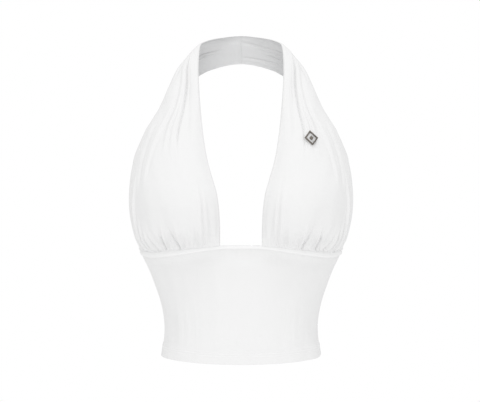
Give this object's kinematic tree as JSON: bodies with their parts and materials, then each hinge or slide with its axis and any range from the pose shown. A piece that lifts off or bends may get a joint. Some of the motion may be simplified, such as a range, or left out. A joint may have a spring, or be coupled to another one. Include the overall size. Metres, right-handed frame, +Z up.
{
  "type": "halter neck top, filled out as worn",
  "caption": "White halter neck crop top filled out as worn: plunging gathered cups, neck strap, piping under the bust and a fitted midriff.",
  "frame": {"origin": "on the inside of the neck strap at the middle of the back, half way up the strap, where the nape carries the garment", "axes": "+Z up, the front faces -Y, and +X is to the right as the front is seen"},
  "size_m": [0.3206, 0.2376, 0.4755],
  "materials": {
    "jersey": "matte white stretch jersey, two layers",
    "gunmetal": "dark gunmetal, satin"
  },
  "bodies": {
    "root": {"halter_left": "jersey", "halter_right": "jersey", "midriff_front": "jersey", "midriff_back": "jersey", "piping_front": "jersey", "piping_back": "jersey", "ornament": "gunmetal", "ornament_centre": "gunmetal"}
  },
  "joints": []
}
